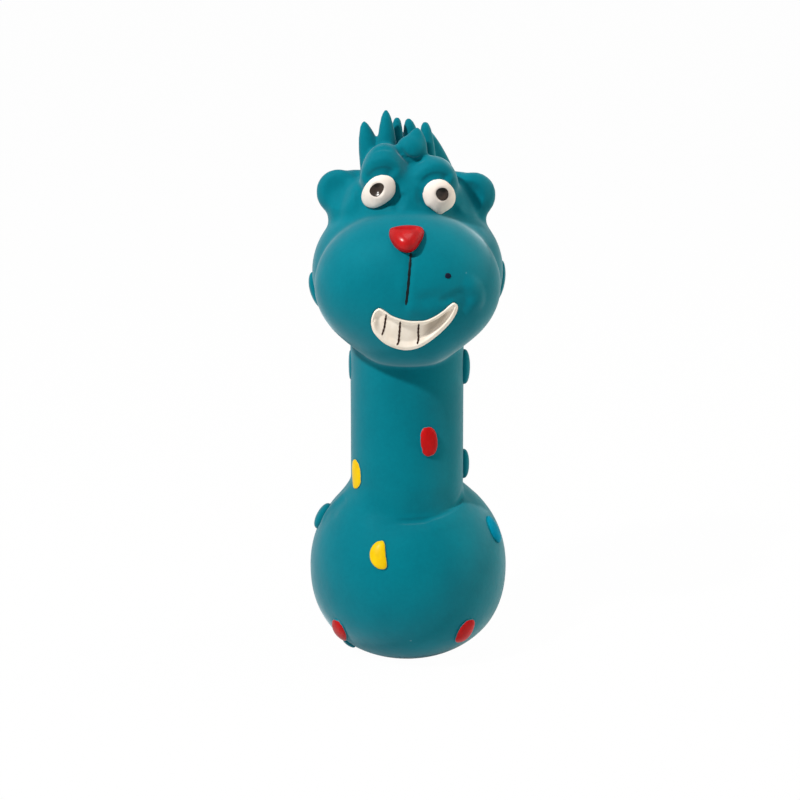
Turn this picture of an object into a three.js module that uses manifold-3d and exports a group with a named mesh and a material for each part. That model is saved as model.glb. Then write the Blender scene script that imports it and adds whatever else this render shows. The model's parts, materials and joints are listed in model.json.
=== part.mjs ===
// Squeaky latex dog toy: a hollow moulded animal with a round belly, a soft neck and a grinning head.
// Millimetres, +Z up, the face looks along -Y, the origin is the middle of the base on the ground.
import * as THREE from 'three';
import { mergeVertices } from 'three/addons/utils/BufferGeometryUtils.js';
import Module from 'manifold-3d';

const wasm = await Module();
wasm.setup();

// Latex skin
const wall = 2.2;
const seatGap = 0.3;
const bellyRadius = 31;
const bellyCentreHeight = 26.5;
const baseRadius = 15;
const bellyFullness = 2.3;
const collarRadius = 20.5;
const collarFlareHeight = 6;
const neckRadius = 17.5;
const swayAboveCrease = 18.9;
const nodAboveSway = 16;
const headAboveNod = 36.5;
const stemBelowHead = 8;
const hingeBallMargin = 0.7;
const hingeBallGap = 0.3;

// Head, all places measured from the middle of the head
const blendRadius = 2;
const headLobes = [
  { at: [0.3, 0, -0.6], half: [28.9, 21.5, 25] },
  { at: [0, -12.6, -2.6], half: [27.5, 19.4, 22.6] },
  { at: [0, -0.5, 19], half: [16, 15, 16.4] },
  { at: [-6.7, -7, 28.2], half: [7, 7.4, 10.2] },
  { at: [8, -7, 26], half: [7.8, 7.4, 8.4] },
  { at: [-15.8, 2, 23.2], half: [5.4, 3.4, 6] },
  { at: [15.6, 2, 22.2], half: [5.4, 3.4, 6] },
  { at: [-19.4, 1.5, 15.4], half: [3.8, 3.6, 4] },
  { at: [19.4, 1.5, 15.4], half: [3.8, 3.6, 4] },
];
const ears = [
  { side: -1, at: [-20.7, 2, 23.2] },
  { side: 1, at: [19.9, 2, 22.5] },
];
const earRadius = 7.3;
const earThickness = 6.8;
const earCupRadius = 5.2;
const earCupDepth = 2.6;
const earCupShift = 1.4;
const earTurn = 0.3;
const hairSpikes = [
  { base: [-9.6, -1, 27], tip: [-12.9, -1, 44.5], radius: 3.9 },
  { base: [-6, -2, 30], tip: [-6.2, -2, 48.2], radius: 2.7 },
  { base: [-3, 3, 31], tip: [-3, 3, 45.2], radius: 1.5 },
  { base: [2.6, 5, 31], tip: [0.3, 5, 45.2], radius: 2.9 },
  { base: [1.6, -5.6, 31], tip: [2.7, -5.6, 43.6], radius: 4.5 },
  { base: [6.2, 0, 30], tip: [5.4, 0, 44.3], radius: 2.4 },
  { base: [8, 4.4, 27], tip: [5, 5, 41.6], radius: 5 },
  { base: [-7, 8.5, 26], tip: [-8.4, 10, 36.6], radius: 4.2 },
];

// Face
const eyeProud = 2.6;
const eyes = [
  { name: 'left', at: [-8.4, 25.4], half: [4.8, 5.4], tilt: -0.4, pupil: [-0.4, 0.7], pupilRadius: 2.1 },
  { name: 'right', at: [9.3, 24.4], half: [4.8, 5.5], tilt: 0.12, pupil: [0.7, 0.4], pupilRadius: 2 },
];
const pupilProud = 0.7;
const noseHeight = 14.2;
const noseHalf = [4.5, 4.1, 3.4];
const noseTaper = 0.42;
const lineWidth = 0.9;
const lineProud = 0.45;
const philtrumLine = [[1.1, 9.2], [0.6, 4.2], [-0.4, -3.4]];
const molePlace = [11.6, 3.9];
const moleRadius = 0.95;
const mouthDepth = 1.5;
const mouthUpper = [[-8, -5.6], [-5.2, -7], [-1, -9], [3, -9.3], [7, -8.2], [10.5, -6.2], [13.8, -4.2]];
const mouthLower = [[15, -6.2], [12.6, -11.2], [7.4, -15.8], [3, -18], [-1.2, -18.8], [-5.4, -17.4],
  [-8.8, -14.6], [-10.4, -10.8]];
const toothLines = [
  { name: 'left', points: [[-6.2, -8.2], [-7.2, -13.4]] },
  { name: 'middle', points: [[-2, -10], [-3, -16.8]] },
  { name: 'right', points: [[3.2, -10.4], [3, -16.8]] },
];
const toothLineWidth = 0.7;

// Raised spots: width and length in the skin, height over it, and the turn of the long side
const spotProud = 1.6;
const bellySpots = [
  { name: 'yellow_front', colour: 'yellow', angle: -106, rise: 0.39, size: [5.6, 9], tilt: 9 },
  { name: 'blue_right', colour: 'blue', angle: -17.5, rise: 0.442, size: [6, 9], tilt: 4 },
  { name: 'teal_left', colour: 'teal', angle: 178, rise: 0.468, size: [5.4, 7.4], tilt: 0 },
  { name: 'red_low_left', colour: 'red', angle: -142, rise: -0.623, size: [5.8, 8.6], tilt: 14 },
  { name: 'red_low_right', colour: 'red', angle: -51, rise: -0.55, size: [5.8, 9], tilt: -22 },
  { name: 'teal_low_left', colour: 'teal', angle: -151, rise: -0.84, size: [4.4, 4.8], tilt: 0 },
  { name: 'blue_back', colour: 'blue', angle: 96, rise: 0.145, size: [5.6, 9], tilt: 4 },
  { name: 'red_back_left', colour: 'red', angle: 138, rise: -0.17, size: [5.6, 9], tilt: 10 },
  { name: 'yellow_back_right', colour: 'yellow', angle: 52, rise: -0.208, size: [5.6, 9], tilt: -12 },
  { name: 'yellow_back_low', colour: 'yellow', angle: 94, rise: -0.623, size: [5.4, 8.6], tilt: 6 },
];
const neckSpots = [
  { name: 'yellow_left', colour: 'yellow', angle: -149, height: 8.2, size: [5.2, 8.6], tilt: 8 },
  { name: 'teal_right', colour: 'teal', angle: -4, height: 9.2, size: [5.2, 8.4], tilt: 0 },
  { name: 'blue_back', colour: 'blue', angle: 96, height: 8.6, size: [5.2, 8.4], tilt: 0 },
  { name: 'red_front', colour: 'red', angle: -68.5, height: 21.6, size: [5.4, 9], tilt: 3 },
  { name: 'red_back', colour: 'red', angle: 122, height: 21.6, size: [5.2, 9], tilt: 3 },
  { name: 'teal_upper_right', colour: 'teal', angle: -3, height: 41, size: [5.4, 11], tilt: 0 },
  { name: 'yellow_upper_back', colour: 'yellow', angle: 86, height: 40, size: [5.2, 8.6], tilt: 0 },
  { name: 'teal_upper_left', colour: 'teal', angle: 178, height: 41.6, size: [5.4, 9], tilt: 0 },
];
const headSpots = [
  { name: 'cheek_left', colour: 'teal', toward: [-1, 0.02, -0.24], size: [6, 12] },
  { name: 'cheek_right', colour: 'teal', toward: [1, 0.02, -0.1], size: [6, 12] },
  { name: 'head_red_back', colour: 'red', toward: [-0.45, 1, 0.1], size: [5.8, 9.4] },
  { name: 'head_blue_back', colour: 'blue', toward: [0.5, 1, -0.25], size: [5.8, 9.4] },
];

// Squeaker
const squeakerLift = 0.4;
const flangeRadius = 11;
const flangeThickness = 1.2;
const cupRadius = 8;
const cupWall = 1.2;
const cupHeight = 11.5;
const barbProud = 1.3;
const barbHeight = 2;
const outletRadius = 1.6;
const socketInner = 3.6;
const socketWall = 1;
const socketHeight = 5.2;
const capThickness = 1.2;
const capSkirt = 2;
const capHoleRadius = 1;
const capHoleRing = 4;
const reedWidth = 4.2;
const reedThickness = 0.25;
const reedLength = 5.2;
const reedRoot = 1.5;
const reedSlot = 0.6;
const shallotHeight = 10.6;
const layAngle = 0.09;
const grooveWidth = 2;
const grooveDepth = 1.4;
const fitGap = 0.2;

// Colours
const paints = {
  teal: 0x00707e,
  red: 0xb81414,
  yellow: 0xf0c800,
  blue: 0x1690b4,
  white: 0xeeeeea,
  dark: 0x1c1210,
  cream: 0xe6e0d0,
  line: 0x3a1c18,
  plastic: 0xe8e6de,
  reed: 0xc8c4b4,
};

const roundSteps = 32;
const group = new THREE.Group();
group.name = 'squeaky_dog_toy';

// Helpers that turn geometry into closed solids and back
function solid(geometry) {
  let bare = geometry.clone();
  bare.deleteAttribute('uv');
  bare.deleteAttribute('normal');
  bare = mergeVertices(bare, 1e-4);
  const from = bare.index.array;
  const kept = [];
  for (let i = 0; i < from.length; i += 3) {
    const [a, b, c] = [from[i], from[i + 1], from[i + 2]];
    if (a !== b && b !== c && c !== a) kept.push(a, b, c);
  }
  const points = bare.attributes.position.array;
  const mesh = new wasm.Mesh({
    numProp: 3,
    vertProperties: new Float32Array(points),
    triVerts: new Uint32Array(kept),
  });
  return new wasm.Manifold(mesh);
}

function addNode(name, shape, paint) {
  const mesh = shape.getMesh();
  const geometry = new THREE.BufferGeometry();
  geometry.setAttribute('position', new THREE.BufferAttribute(new Float32Array(mesh.vertProperties), 3));
  geometry.setIndex(new THREE.BufferAttribute(new Uint32Array(mesh.triVerts), 1));
  geometry.computeVertexNormals();
  const material = new THREE.MeshStandardMaterial({ color: paints[paint], roughness: 0.7, name: paint });
  const node = new THREE.Mesh(geometry, material);
  node.name = name;
  group.add(node);
}

function turned(profile, steps = roundSteps) {
  const loop = [...profile, profile[0]].map(([r, z]) => new THREE.Vector2(r, z));
  const geometry = new THREE.LatheGeometry(loop, steps);
  geometry.rotateX(Math.PI / 2);
  return solid(geometry);
}

function box(x0, x1, y0, y1, z0, z1) {
  const geometry = new THREE.BoxGeometry(x1 - x0, y1 - y0, z1 - z0);
  geometry.translate((x0 + x1) / 2, (y0 + y1) / 2, (z0 + z1) / 2);
  return solid(geometry);
}

function rod(radius, x, y, z0, z1, steps = 24) {
  const geometry = new THREE.CylinderGeometry(radius, radius, z1 - z0, steps);
  geometry.rotateX(Math.PI / 2);
  geometry.translate(x, y, (z0 + z1) / 2);
  return solid(geometry);
}

function egg(half, steps = [10, 6]) {
  const geometry = new THREE.SphereGeometry(1, steps[0], steps[1]);
  geometry.scale(half[0], half[1], half[2]);
  return geometry;
}

// Belly profile: a ball above its middle, a fuller curve below it that ends on the flat base
const baseShare = (1 - (baseRadius / bellyRadius) ** bellyFullness) ** (1 / bellyFullness);
const bellyDepth = bellyCentreHeight / baseShare;

function bellySkin(height, grow) {
  const rise = height - bellyCentreHeight;
  const radius = bellyRadius + grow;
  if (rise >= 0) return Math.sqrt(Math.max(radius ** 2 - rise ** 2, 0));
  const share = Math.min(-rise / (bellyDepth + grow), 1);
  return radius * (1 - share ** bellyFullness) ** (1 / bellyFullness);
}

function bellyTop(radius, grow) {
  return bellyCentreHeight + Math.sqrt((bellyRadius + grow) ** 2 - radius ** 2);
}

const creaseHeight = bellyTop(collarRadius, 0);
const floorUnder = squeakerLift + flangeThickness + seatGap;
const floorTop = floorUnder + wall;

function bellyCurve(from, to, grow, steps) {
  const points = [];
  for (let i = 0; i <= steps; i += 1) {
    const height = from + (to - from) * (0.5 - 0.5 * Math.cos((Math.PI * i) / steps));
    points.push([bellySkin(height, grow), height]);
  }
  return points;
}

const mouthRadius = collarRadius + hingeBallGap;
const outerCurve = bellyCurve(0, bellyTop(mouthRadius, 0), 0, 15);
const innerCurve = bellyCurve(floorTop, bellyTop(mouthRadius, -wall), -wall, 8).reverse();
const belly = turned([
  [flangeRadius + 2 * seatGap, 0],
  ...outerCurve,
  ...innerCurve,
  [cupRadius + seatGap, floorTop],
  [cupRadius + seatGap, floorUnder],
  [flangeRadius + 2 * seatGap, floorUnder],
]);
addNode('latex_belly', belly, 'teal');

// Neck pieces, parted on balls round the two bending points
const swayHeight = creaseHeight + swayAboveCrease;
const nodHeight = swayHeight + nodAboveSway;
const headHeight = nodHeight + headAboveNod;
const ballRadius = neckRadius + hingeBallMargin;
const boreRadius = neckRadius - wall;

function ballEdge(centre, radius, from, to, steps = 3) {
  const points = [];
  for (let i = 0; i <= steps; i += 1) {
    const r = from + ((to - from) * i) / steps;
    points.push([r, centre - Math.sqrt(radius ** 2 - r ** 2)]);
  }
  return points;
}

function flare(bottom, top, foot, stem, steps = 4) {
  const points = [];
  for (let i = 0; i <= steps; i += 1) {
    const turn = (Math.PI / 2) * (i / steps);
    const radius = stem + (foot - stem) * (1 - Math.sin(turn));
    points.push([radius, bottom + (top - bottom) * (1 - Math.cos(turn))]);
  }
  return points;
}

const collarFoot = bellyTop(collarRadius, -wall);
const flareTop = creaseHeight + collarFlareHeight;
const neckRoot = turned([
  ...flare(creaseHeight, flareTop, collarRadius, neckRadius),
  ...ballEdge(swayHeight, ballRadius, neckRadius, boreRadius),
  ...flare(collarFoot, flareTop, collarRadius - wall, boreRadius).reverse(),
  [collarRadius, collarFoot],
]);
addNode('latex_neck_root', neckRoot, 'teal');

const neckMiddle = turned([
  ...ballEdge(swayHeight, ballRadius - hingeBallGap, boreRadius, neckRadius),
  ...ballEdge(nodHeight, ballRadius, neckRadius, boreRadius),
]);
addNode('latex_neck', neckMiddle, 'teal');

// Head skin: soft union of egg-shaped lobes, cast outward from the middle of the head
function lobeDistance(point, lobe) {
  let near = 0;
  let far = 0;
  for (let i = 0; i < 3; i += 1) {
    const share = (point[i] - lobe.at[i]) / lobe.half[i];
    near += share ** 2;
    far += (share / lobe.half[i]) ** 2;
  }
  const length = Math.sqrt(near);
  return (length * (length - 1)) / Math.sqrt(far);
}

function skinDistance(point) {
  let sum = 0;
  for (const lobe of headLobes) sum += Math.exp(-lobeDistance(point, lobe) / blendRadius);
  return -blendRadius * Math.log(sum);
}

function skinReach(toward, grow) {
  const length = Math.hypot(...toward);
  const unit = toward.map((part) => part / length);
  let reach = 3 * headLobes[0].half[0];
  for (let i = 0; i < 60; i += 1) {
    const gap = skinDistance(unit.map((part) => part * reach)) - grow;
    if (Math.abs(gap) < 1e-3) break;
    reach -= gap * 0.8;
  }
  return unit.map((part) => part * reach);
}

function headSkin(grow, around, down) {
  const geometry = new THREE.SphereGeometry(1, around, down);
  geometry.rotateX(Math.PI / 2);
  const place = geometry.attributes.position;
  for (let i = 0; i < place.count; i += 1) {
    const point = skinReach([place.getX(i), place.getY(i), place.getZ(i)], grow);
    place.setXYZ(i, point[0], point[1], point[2] + headHeight);
  }
  return solid(geometry);
}

function skinNormal(point) {
  const step = 0.05;
  const slope = [0, 1, 2].map((axis) => {
    const ahead = [...point];
    const behind = [...point];
    ahead[axis] += step;
    behind[axis] -= step;
    return skinDistance(ahead) - skinDistance(behind);
  });
  return new THREE.Vector3(...slope).normalize();
}

// Point of the face skin in front of a place given in the face plane
function facePoint(x, z) {
  let y = -3 * headLobes[0].half[0];
  for (let i = 0; i < 80; i += 1) {
    const gap = skinDistance([x, y, z]);
    if (Math.abs(gap) < 1e-3) break;
    y += gap * 0.7;
  }
  return [x, y, z];
}

// Turn and move a geometry so that its +Z looks along a normal and its +Y stays upright
function seat(geometry, point, normal, tilt) {
  const up = Math.abs(normal.z) > 0.95 ? new THREE.Vector3(0, 1, 0) : new THREE.Vector3(0, 0, 1);
  const side = new THREE.Vector3().crossVectors(up, normal).normalize();
  const rise = new THREE.Vector3().crossVectors(normal, side);
  const place = new THREE.Matrix4().makeBasis(side, rise, normal);
  place.setPosition(point[0], point[1], point[2]);
  geometry.rotateZ(tilt);
  geometry.applyMatrix4(place);
  return geometry;
}

// The cup of an ear opens towards the head
function earShape(ear) {
  const bulk = new THREE.SphereGeometry(1, 18, 9);
  bulk.scale(earRadius, earThickness / 2, earRadius);
  const cup = new THREE.SphereGeometry(1, 14, 8);
  cup.scale(earCupRadius, earCupDepth, earCupRadius);
  cup.translate(-ear.side * earCupShift, -earThickness / 2, 0);
  const shape = solid(bulk).subtract(solid(cup));
  return shape.rotate([0, 0, THREE.MathUtils.radToDeg(ear.side * earTurn)])
    .translate([ear.at[0], ear.at[1], ear.at[2] + headHeight]);
}

function spikeShape(spike) {
  const from = new THREE.Vector3(...spike.base);
  const to = new THREE.Vector3(...spike.tip);
  const length = from.distanceTo(to);
  const outline = [];
  for (let i = 0; i <= 5; i += 1) {
    const turn = (Math.PI / 2) * (i / 5);
    outline.push(new THREE.Vector2(spike.radius * Math.cos(turn) ** 0.85, length * Math.sin(turn)));
  }
  const geometry = new THREE.LatheGeometry([new THREE.Vector2(0, 0), ...outline], 10);
  const along = to.sub(from).normalize();
  const turn = new THREE.Quaternion().setFromUnitVectors(new THREE.Vector3(0, 1, 0), along);
  geometry.applyQuaternion(turn);
  geometry.translate(from.x, from.y, from.z + headHeight);
  return solid(geometry);
}

// Flat outline of the face, pushed back into the skin as a prism from before the muzzle to its middle
const muzzle = headLobes[1];
const faceCutBack = muzzle.at[1];
const faceCutFront = muzzle.at[1] - 2 * muzzle.half[1];

function facePrism(points, from, to) {
  const shape = new THREE.Shape(points.map(([x, z]) => new THREE.Vector2(x, z)));
  const geometry = new THREE.ExtrudeGeometry(shape, { depth: to - from, bevelEnabled: false });
  geometry.rotateX(Math.PI / 2);
  geometry.translate(0, to, headHeight);
  return solid(geometry);
}

// Outline moved inward by a gap, corner by corner
function inset(points, gap) {
  return points.map((point, i) => {
    const before = points[(i + points.length - 1) % points.length];
    const after = points[(i + 1) % points.length];
    const along = new THREE.Vector2(after[0] - before[0], after[1] - before[1]).normalize();
    return [point[0] + along.y * gap, point[1] - along.x * gap];
  });
}

function faceStroke(points, width) {
  const path = new THREE.CatmullRomCurve3(points.map(([x, z]) => new THREE.Vector3(x, z, 0)));
  const steps = 5;
  const left = [];
  const right = [];
  for (let i = 0; i <= steps; i += 1) {
    const at = path.getPointAt(i / steps);
    const along = path.getTangentAt(i / steps);
    left.push([at.x - (along.y * width) / 2, at.y + (along.x * width) / 2]);
    right.unshift([at.x + (along.y * width) / 2, at.y - (along.x * width) / 2]);
  }
  return facePrism([...left, ...right], faceCutFront, 0);
}

const skinSteps = [42, 28];
const outerSkin = headSkin(0, ...skinSteps);
const paintUnder = headSkin(seatGap, ...skinSteps);
const paintOver = headSkin(seatGap + lineProud, ...skinSteps);
const pocketFloor = headSkin(-mouthDepth, ...skinSteps);
const teethUnder = headSkin(-mouthDepth + seatGap, ...skinSteps);
const teethOver = headSkin(-seatGap, ...skinSteps);
const airSkin = headSkin(-wall, 24, 14);

const stemTop = headHeight - stemBelowHead;
const neckStem = turned([
  ...ballEdge(nodHeight, ballRadius - hingeBallGap, boreRadius, neckRadius),
  [neckRadius, stemTop],
  [boreRadius, stemTop],
]);
const bore = rod(boreRadius, 0, 0, nodHeight - ballRadius, stemTop, roundSteps);
const mouthOutline = [...mouthUpper, ...mouthLower];
const mouthPocket = facePrism(mouthOutline, faceCutFront, faceCutBack).subtract(pocketFloor);

let head = outerSkin;
for (const ear of ears) head = head.add(earShape(ear));
for (const spike of hairSpikes) head = head.add(spikeShape(spike));
head = head.subtract(airSkin).subtract(bore).subtract(mouthPocket);
addNode('latex_head', head, 'teal');
addNode('latex_neck_top', neckStem.subtract(paintUnder), 'teal');

// Face paint
for (const eye of eyes) {
  const point = facePoint(...eye.at);
  const normal = skinNormal(point);
  const onHead = [point[0], point[1], point[2] + headHeight];
  const dome = (grow) => {
    const half = [...eye.half, eyeProud].map((size) => size + grow);
    return solid(seat(egg(half, [18, 10]), onHead, normal, eye.tilt));
  };
  const white = dome(0).subtract(paintUnder);
  const spot = new THREE.CylinderGeometry(eye.pupilRadius, eye.pupilRadius, 16, 18);
  spot.rotateX(Math.PI / 2);
  spot.translate(eye.pupil[0], eye.pupil[1], 8);
  const pupil = solid(seat(spot, onHead, normal, 0))
    .intersect(dome(seatGap + pupilProud))
    .subtract(dome(seatGap));
  addNode(`eye_white_${eye.name}`, white, 'white');
  addNode(`pupil_${eye.name}`, pupil, 'dark');
}

const nosePoint = facePoint(0, noseHeight);
const noseNormal = skinNormal(nosePoint);
const noseEgg = egg(noseHalf, [18, 10]);
const noseShape = noseEgg.attributes.position;
for (let i = 0; i < noseShape.count; i += 1) {
  const taper = 1 + (noseTaper * noseShape.getY(i)) / noseHalf[1];
  noseShape.setX(i, noseShape.getX(i) * taper);
}
const noseSolid = seat(noseEgg, [nosePoint[0], nosePoint[1], nosePoint[2] + headHeight], noseNormal, 0);
addNode('nose', solid(noseSolid).subtract(paintUnder), 'red');

const paintLayer = paintOver.subtract(paintUnder);
addNode('philtrum', faceStroke(philtrumLine, lineWidth).intersect(paintLayer), 'line');
const moleCircle = new THREE.EllipseCurve(...molePlace, moleRadius, moleRadius).getPoints(12).slice(0, -1);
const molePrism = facePrism(moleCircle.map((at) => [at.x, at.y]), faceCutFront, faceCutBack);
addNode('mole', molePrism.intersect(paintLayer), 'line');

const teethOutline = inset(mouthOutline, 2 * seatGap);
const teethLayer = teethOver.subtract(teethUnder);
addNode('teeth', facePrism(teethOutline, faceCutFront, faceCutBack).intersect(teethLayer), 'cream');
const toothLayer = headSkin(lineProud, ...skinSteps).subtract(outerSkin);
for (const line of toothLines) {
  addNode(`tooth_line_${line.name}`, faceStroke(line.points, toothLineWidth).intersect(toothLayer), 'line');
}

// Raised spots
function bean(size, point, normal, tilt) {
  const half = [size[0] / 2, size[1] / 2, spotProud];
  return solid(seat(egg(half), point, normal, tilt));
}

const bellyUnder = turned([[0, -seatGap], ...bellyCurve(-seatGap, bellyTop(1, seatGap), seatGap, 20),
  [0, bellyTop(1, seatGap)]]);
for (const spot of bellySpots) {
  const turn = THREE.MathUtils.degToRad(spot.angle);
  const height = bellyCentreHeight + spot.rise * (spot.rise > 0 ? bellyRadius : bellyCentreHeight);
  const radius = bellySkin(height, 0);
  const lean = bellySkin(height - 0.1, 0) - bellySkin(height + 0.1, 0);
  const normal = new THREE.Vector3(0.2 * Math.cos(turn), 0.2 * Math.sin(turn), lean).normalize();
  const point = [radius * Math.cos(turn), radius * Math.sin(turn), height];
  const shape = bean(spot.size, point, normal, THREE.MathUtils.degToRad(spot.tilt)).subtract(bellyUnder);
  addNode(`spot_belly_${spot.name}`, shape, spot.colour);
}

const neckUnder = turned([[0, 0], ...flare(creaseHeight, flareTop, collarRadius, neckRadius)
  .map(([r, z]) => [r + seatGap, z]), [neckRadius + seatGap, headHeight], [0, headHeight]]);
for (const spot of neckSpots) {
  const turn = THREE.MathUtils.degToRad(spot.angle);
  const normal = new THREE.Vector3(Math.cos(turn), Math.sin(turn), 0);
  const height = creaseHeight + spot.height;
  const lean = Math.max(0, flareTop - height) / collarFlareHeight;
  const radius = neckRadius + (collarRadius - neckRadius) * lean ** 2;
  const point = [radius * Math.cos(turn), radius * Math.sin(turn), height];
  const shape = bean(spot.size, point, normal, THREE.MathUtils.degToRad(spot.tilt)).subtract(neckUnder);
  addNode(`spot_neck_${spot.name}`, shape, spot.colour);
}

for (const spot of headSpots) {
  const point = skinReach(spot.toward, 0);
  const onHead = [point[0], point[1], point[2] + headHeight];
  const shape = bean(spot.size, onHead, skinNormal(point), 0).subtract(paintUnder);
  addNode(`spot_${spot.name}`, shape, spot.colour);
}

// Squeaker in the base
const cupFloor = squeakerLift + flangeThickness;
const barbFoot = floorTop + seatGap;
const cupTop = squeakerLift + cupHeight;
const socketTop = squeakerLift + socketHeight;
const housing = turned([
  [outletRadius, squeakerLift],
  [flangeRadius, squeakerLift],
  [flangeRadius, cupFloor],
  [cupRadius, cupFloor],
  [cupRadius, barbFoot],
  [cupRadius + barbProud, barbFoot],
  [cupRadius, barbFoot + barbHeight],
  [cupRadius, cupTop],
  [cupRadius - cupWall, cupTop],
  [cupRadius - cupWall, cupFloor],
  [socketInner + socketWall, cupFloor],
  [socketInner + socketWall, socketTop],
  [socketInner, socketTop],
  [socketInner, cupFloor],
  [outletRadius, cupFloor],
], 24);
addNode('squeaker_housing', housing, 'plastic');

const capBottom = cupTop + fitGap / 2;
const skirtOuter = cupRadius - cupWall - fitGap;
let cap = turned([
  [0, capBottom],
  [skirtOuter - cupWall, capBottom],
  [skirtOuter - cupWall, capBottom - capSkirt],
  [skirtOuter, capBottom - capSkirt],
  [skirtOuter, capBottom],
  [cupRadius, capBottom],
  [cupRadius, capBottom + capThickness],
  [0, capBottom + capThickness],
], 24);
for (let i = 0; i < 5; i += 1) {
  const turn = (2 * Math.PI * i) / 5;
  const hole = [capHoleRing * Math.cos(turn), capHoleRing * Math.sin(turn)];
  cap = cap.subtract(rod(capHoleRadius, ...hole, capBottom - 1, capBottom + capThickness + 1, 10));
}
addNode('squeaker_cap', cap, 'plastic');

const plugRadius = socketInner - fitGap;
const plugFoot = cupFloor + fitGap / 2;
const shallotTop = squeakerLift + shallotHeight - capSkirt;
const slotHalf = reedSlot / 2;
let shallot = rod(plugRadius, 0, 0, plugFoot, shallotTop, 24)
  .subtract(box(-plugRadius - 1, plugRadius + 1, -plugRadius - 1, slotHalf, 0, shallotTop + 1));
const layCut = new THREE.BoxGeometry(2 * plugRadius + 2, 4, 2 * reedLength);
layCut.translate(0, -2, reedLength);
layCut.rotateX(-layAngle);
layCut.translate(0, slotHalf, socketTop);
shallot = shallot.subtract(solid(layCut));
const grooveTop = shallotTop - cupWall;
shallot = shallot.subtract(box(-grooveWidth / 2, grooveWidth / 2, -1, slotHalf + grooveDepth, 0, grooveTop));
addNode('reed_shallot', shallot, 'plastic');

const wedge = rod(plugRadius, 0, 0, plugFoot, socketTop, 24)
  .subtract(box(-plugRadius - 1, plugRadius + 1, -slotHalf, plugRadius + 1, 0, socketTop + 1));
addNode('reed_wedge', wedge, 'plastic');

const reed = box(-reedWidth / 2, reedWidth / 2, -reedThickness / 2, reedThickness / 2,
  socketTop - reedRoot, Math.min(socketTop + reedLength, capBottom - capSkirt));
addNode('squeaker_reed', reed, 'reed');

export default group;
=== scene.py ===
import json
import math

import bpy
import numpy as np
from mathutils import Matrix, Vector
from mathutils.bvhtree import BVHTree


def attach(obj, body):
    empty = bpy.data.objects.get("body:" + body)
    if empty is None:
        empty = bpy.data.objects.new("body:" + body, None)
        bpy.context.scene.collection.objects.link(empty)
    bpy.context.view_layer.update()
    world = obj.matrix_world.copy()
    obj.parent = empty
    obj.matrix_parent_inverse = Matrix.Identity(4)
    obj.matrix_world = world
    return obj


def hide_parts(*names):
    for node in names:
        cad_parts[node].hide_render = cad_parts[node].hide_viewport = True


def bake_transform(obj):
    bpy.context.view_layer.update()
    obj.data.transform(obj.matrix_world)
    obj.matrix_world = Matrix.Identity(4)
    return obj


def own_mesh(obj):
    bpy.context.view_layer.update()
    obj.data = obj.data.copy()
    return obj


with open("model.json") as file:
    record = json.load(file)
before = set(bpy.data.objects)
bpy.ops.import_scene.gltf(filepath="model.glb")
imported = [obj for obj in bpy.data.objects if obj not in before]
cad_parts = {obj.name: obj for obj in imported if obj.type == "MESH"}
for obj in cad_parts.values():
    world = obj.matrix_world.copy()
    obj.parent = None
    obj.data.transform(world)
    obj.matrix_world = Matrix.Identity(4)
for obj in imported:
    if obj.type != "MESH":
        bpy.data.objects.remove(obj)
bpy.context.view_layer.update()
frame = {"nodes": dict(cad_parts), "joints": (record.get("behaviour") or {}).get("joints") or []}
mm = 0.001
joints = {joint["name"]: joint for joint in frame["joints"]}
print("frame loaded, nodes:", len(frame["nodes"]))


# Camera of the picture; its places are picture pixels, across and down
photoView = {
    "imageSize": 800,
    "distance": 0.55,
    "elevation": math.radians(14),
    "aim": (0, 0, 0.085),
    "axisPixel": (407, 384),  # where the lens axis meets the picture
    "pixelFocal": 1774,
    "sensor": 36,
    "clipStart": 0.01,
}
focal = photoView["pixelFocal"]
axisAcross, axisDown = photoView["axisPixel"]


def viewAxes():
    tilt = photoView["elevation"]
    ahead = Vector((0, math.cos(tilt), -math.sin(tilt)))
    upward = Vector((0, math.sin(tilt), math.cos(tilt)))
    return Vector(photoView["aim"]) - ahead * photoView["distance"], ahead, upward


def sightLine(across, down):
    eye, ahead, upward = viewAxes()
    sideways = (across - axisAcross) / focal
    lift = (axisDown - down) / focal
    return eye, (ahead + Vector((1, 0, 0)) * sideways + upward * lift).normalized()


def picturePlaces(points):
    eye, ahead, upward = viewAxes()
    away = points - np.array(eye)
    depth = away @ np.array(ahead)
    across = axisAcross + focal * away[:, 0] / depth
    down = axisDown - focal * (away @ np.array(upward)) / depth
    return np.column_stack([across, down])


def makeCamera():
    view = photoView
    bpy.ops.object.camera_add(location=viewAxes()[0])
    camera = bpy.context.object
    camera.name = "photoCamera"
    camera.rotation_euler = (math.radians(90) - view["elevation"], 0, 0)
    size = view["imageSize"]
    camera.data.sensor_width = view["sensor"]
    camera.data.lens = focal * view["sensor"] / size
    camera.data.shift_x = (size / 2 - axisAcross) / size
    camera.data.shift_y = (axisDown - size / 2) / size
    camera.data.clip_start = view["clipStart"]
    bpy.context.scene.camera = camera


makeCamera()
print("camera set")


# Small tools: picking, points, modifiers
def pickOnly(piece):
    if bpy.context.mode != "OBJECT":
        bpy.ops.object.mode_set(mode="OBJECT")
    bpy.ops.object.select_all(action="DESELECT")
    piece.select_set(True)
    bpy.context.view_layer.objects.active = piece


def editAll(piece, action="SELECT"):
    pickOnly(piece)
    bpy.ops.object.mode_set(mode="EDIT")
    bpy.ops.mesh.select_mode(type="VERT")
    bpy.ops.mesh.select_all(action=action)


def smoothPoints(piece, mask, repeat):
    editAll(piece, "DESELECT")
    bpy.ops.object.mode_set(mode="OBJECT")
    piece.data.vertices.foreach_set("select", np.asarray(mask, bool))
    bpy.ops.object.mode_set(mode="EDIT")
    bpy.ops.mesh.vertices_smooth(factor=0.5, repeat=repeat)
    bpy.ops.object.mode_set(mode="OBJECT")


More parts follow.
